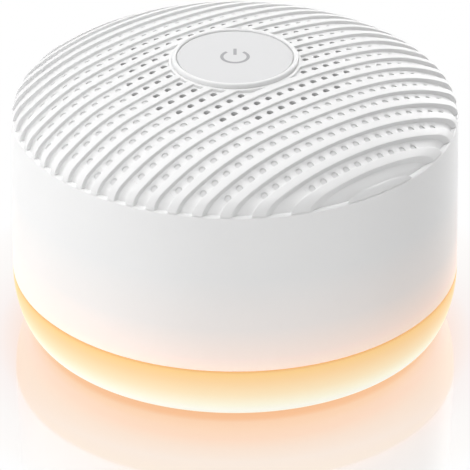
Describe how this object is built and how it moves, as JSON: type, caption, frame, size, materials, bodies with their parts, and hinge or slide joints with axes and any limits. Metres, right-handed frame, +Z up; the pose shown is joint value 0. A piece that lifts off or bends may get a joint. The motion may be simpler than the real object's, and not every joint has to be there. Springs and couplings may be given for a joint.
{
  "type": "white noise sound machine",
  "caption": "Round tabletop white noise machine: domed ribbed speaker grille with a press button in its middle, smooth white wall, glowing night-light ring at the foot.",
  "frame": {"origin": "on the table under the middle of the machine", "axes": "+Z up; +Y towards the control panel and power inlet at the back; +X to the left of someone who faces that panel"},
  "size_m": [0.1, 0.1001, 0.0648],
  "materials": {
    "white_shell": "satin moulded ABS, white",
    "button_grey": "satin moulded ABS, very light grey",
    "button_white": "satin moulded ABS, white",
    "diffuser": "frosted translucent plastic, lit warm white",
    "cloth": "thin black acoustic cloth",
    "foam": "closed-cell foam",
    "rubber": "soft matt rubber",
    "black_plastic": "black moulded plastic",
    "board": "glass-fibre board with green solder mask",
    "white_board": "glass-fibre board with white solder mask",
    "reflector": "gloss white reflector plastic",
    "pressed_steel": "zinc-plated pressed steel",
    "ferrite": "sintered ferrite magnet",
    "paper": "treated paper pulp",
    "spider_cloth": "resin-treated cotton",
    "copper": "enamelled copper wire on a paper former",
    "wire": "stranded wire with plastic insulation",
    "ribbon": "flat flexible ribbon cable",
    "socket_plastic": "cream moulded nylon",
    "screw_steel": "zinc-plated steel",
    "led": "white LED with yellow phosphor"
  },
  "bodies": {
    "case": {"grille_cover": "white_shell", "dust_cloth": "cloth", "trim_ring": "white_shell", "top_board": "board", "top_switch": "black_plastic", "speaker_gasket": "foam", "speaker_basket": "pressed_steel", "speaker_surround": "rubber", "speaker_cone": "paper", "speaker_dust_cap": "paper", "speaker_spider": "spider_cloth", "voice_coil": "copper", "speaker_magnet": "ferrite", "speaker_yoke": "pressed_steel", "speaker_top_plate": "pressed_steel", "speaker_screws": "screw_steel", "speaker_leads": "wire", "body_shell": "white_shell", "cover_screws": "screw_steel", "side_board": "board", "side_switches": "screw_steel", "usb_socket": "screw_steel", "usb_tongue": "black_plastic", "main_board": "board", "main_chips": "black_plastic", "cable_sockets": "socket_plastic", "ribbon_cables": "ribbon", "board_screws": "screw_steel", "light_reflector": "reflector", "light_board": "white_board", "leds": "led", "light_ring": "diffuser", "base_plate": "white_shell", "rubber_feet": "rubber", "base_screws": "screw_steel"},
    "power_button_body": {"power_button": "button_grey", "power_plunger": "black_plastic"},
    "timer_button_body": {"timer_button": "button_white", "timer_plunger": "black_plastic"},
    "light_button_body": {"light_button": "button_white", "light_plunger": "black_plastic"},
    "volume_down_button_body": {"volume_down_button": "button_white", "volume_down_plunger": "black_plastic"},
    "volume_up_button_body": {"volume_up_button": "button_white", "volume_up_plunger": "black_plastic"},
    "sound_back_button_body": {"sound_back_button": "button_white", "sound_back_plunger": "black_plastic"},
    "sound_next_button_body": {"sound_next_button": "button_white", "sound_next_plunger": "black_plastic"}
  },
  "joints": [
    {"name": "power_press", "type": "slide", "parent": "case", "child": "power_button_body", "axis": [0, 0, -1], "range_m": [0, 0.0005], "stiffness_N_per_m": 4000},
    {"name": "timer_press", "type": "slide", "parent": "case", "child": "timer_button_body", "axis": [0, -1, 0], "range_m": [0, 0.0004], "stiffness_N_per_m": 4000},
    {"name": "light_press", "type": "slide", "parent": "case", "child": "light_button_body", "axis": [0, -1, 0], "range_m": [0, 0.0004], "stiffness_N_per_m": 4000},
    {"name": "volume_down_press", "type": "slide", "parent": "case", "child": "volume_down_button_body", "axis": [0, -1, 0], "range_m": [0, 0.0004], "stiffness_N_per_m": 4000},
    {"name": "volume_up_press", "type": "slide", "parent": "case", "child": "volume_up_button_body", "axis": [0, -1, 0], "range_m": [0, 0.0004], "stiffness_N_per_m": 4000},
    {"name": "sound_back_press", "type": "slide", "parent": "case", "child": "sound_back_button_body", "axis": [0, -1, 0], "range_m": [0, 0.0004], "stiffness_N_per_m": 4000},
    {"name": "sound_next_press", "type": "slide", "parent": "case", "child": "sound_next_button_body", "axis": [0, -1, 0], "range_m": [0, 0.0004], "stiffness_N_per_m": 4000}
  ]
}
